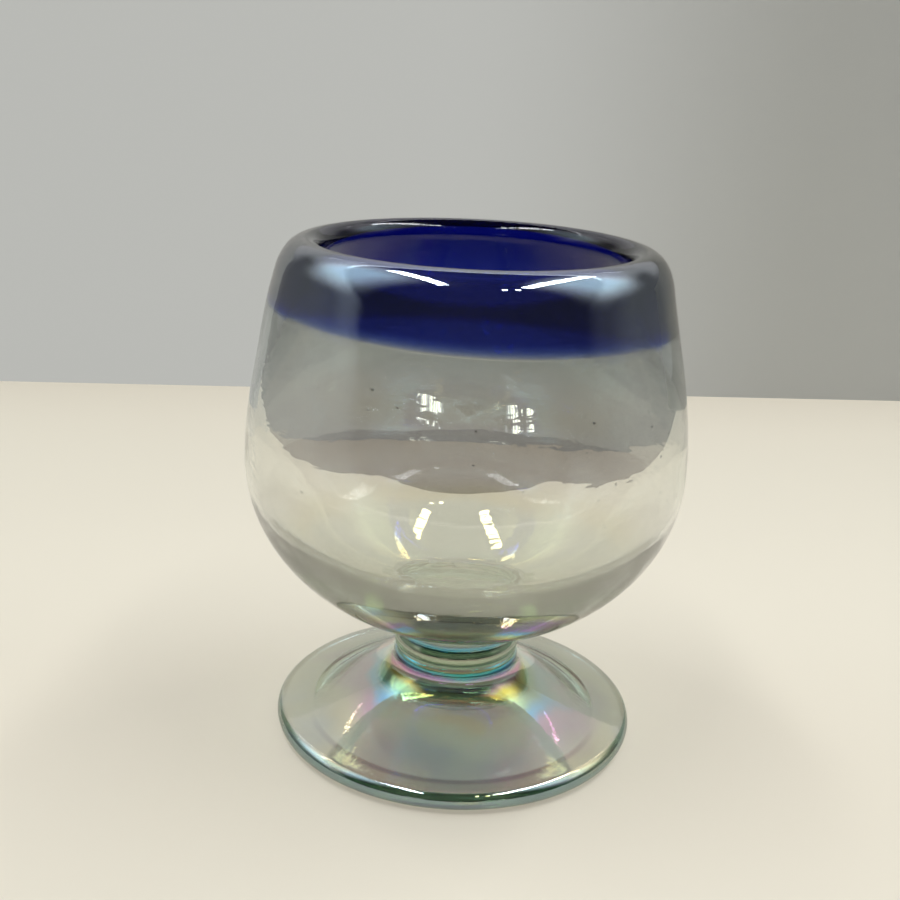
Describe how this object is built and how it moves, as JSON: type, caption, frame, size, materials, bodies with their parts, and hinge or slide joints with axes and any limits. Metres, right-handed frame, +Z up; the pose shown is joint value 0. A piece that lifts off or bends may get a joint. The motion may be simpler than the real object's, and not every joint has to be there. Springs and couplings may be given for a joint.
{
  "type": "cognac glass",
  "caption": "Round-bellied drinking glass for cognac, with a thick cobalt-blue lip that narrows the mouth, a clear heavy-based bowl, a short waisted stem and a trumpet foot.",
  "frame": {"origin": "middle of the foot's underside, on the surface that the glass stands on", "axes": "+Z up along the axis that all the pieces are turned about; the glass is round, so X and Y are free"},
  "size_m": [0.096, 0.096, 0.1109],
  "materials": {
    "foot_glass": "fire-polished clear glass, faintly green in the thick edge, with a lustre film",
    "stem_glass": "fire-polished clear glass with a strong lustre film that shows rainbow colours",
    "bowl_glass": "hand-blown clear glass with a faint lustre film, seeds and a slight ripple",
    "cobalt_glass": "deep cobalt-blue glass, fire-polished, with a thin silvery lustre"
  },
  "bodies": {
    "root": {"foot": "foot_glass", "stem": "stem_glass", "bowl": "bowl_glass", "rim": "cobalt_glass"}
  },
  "joints": []
}
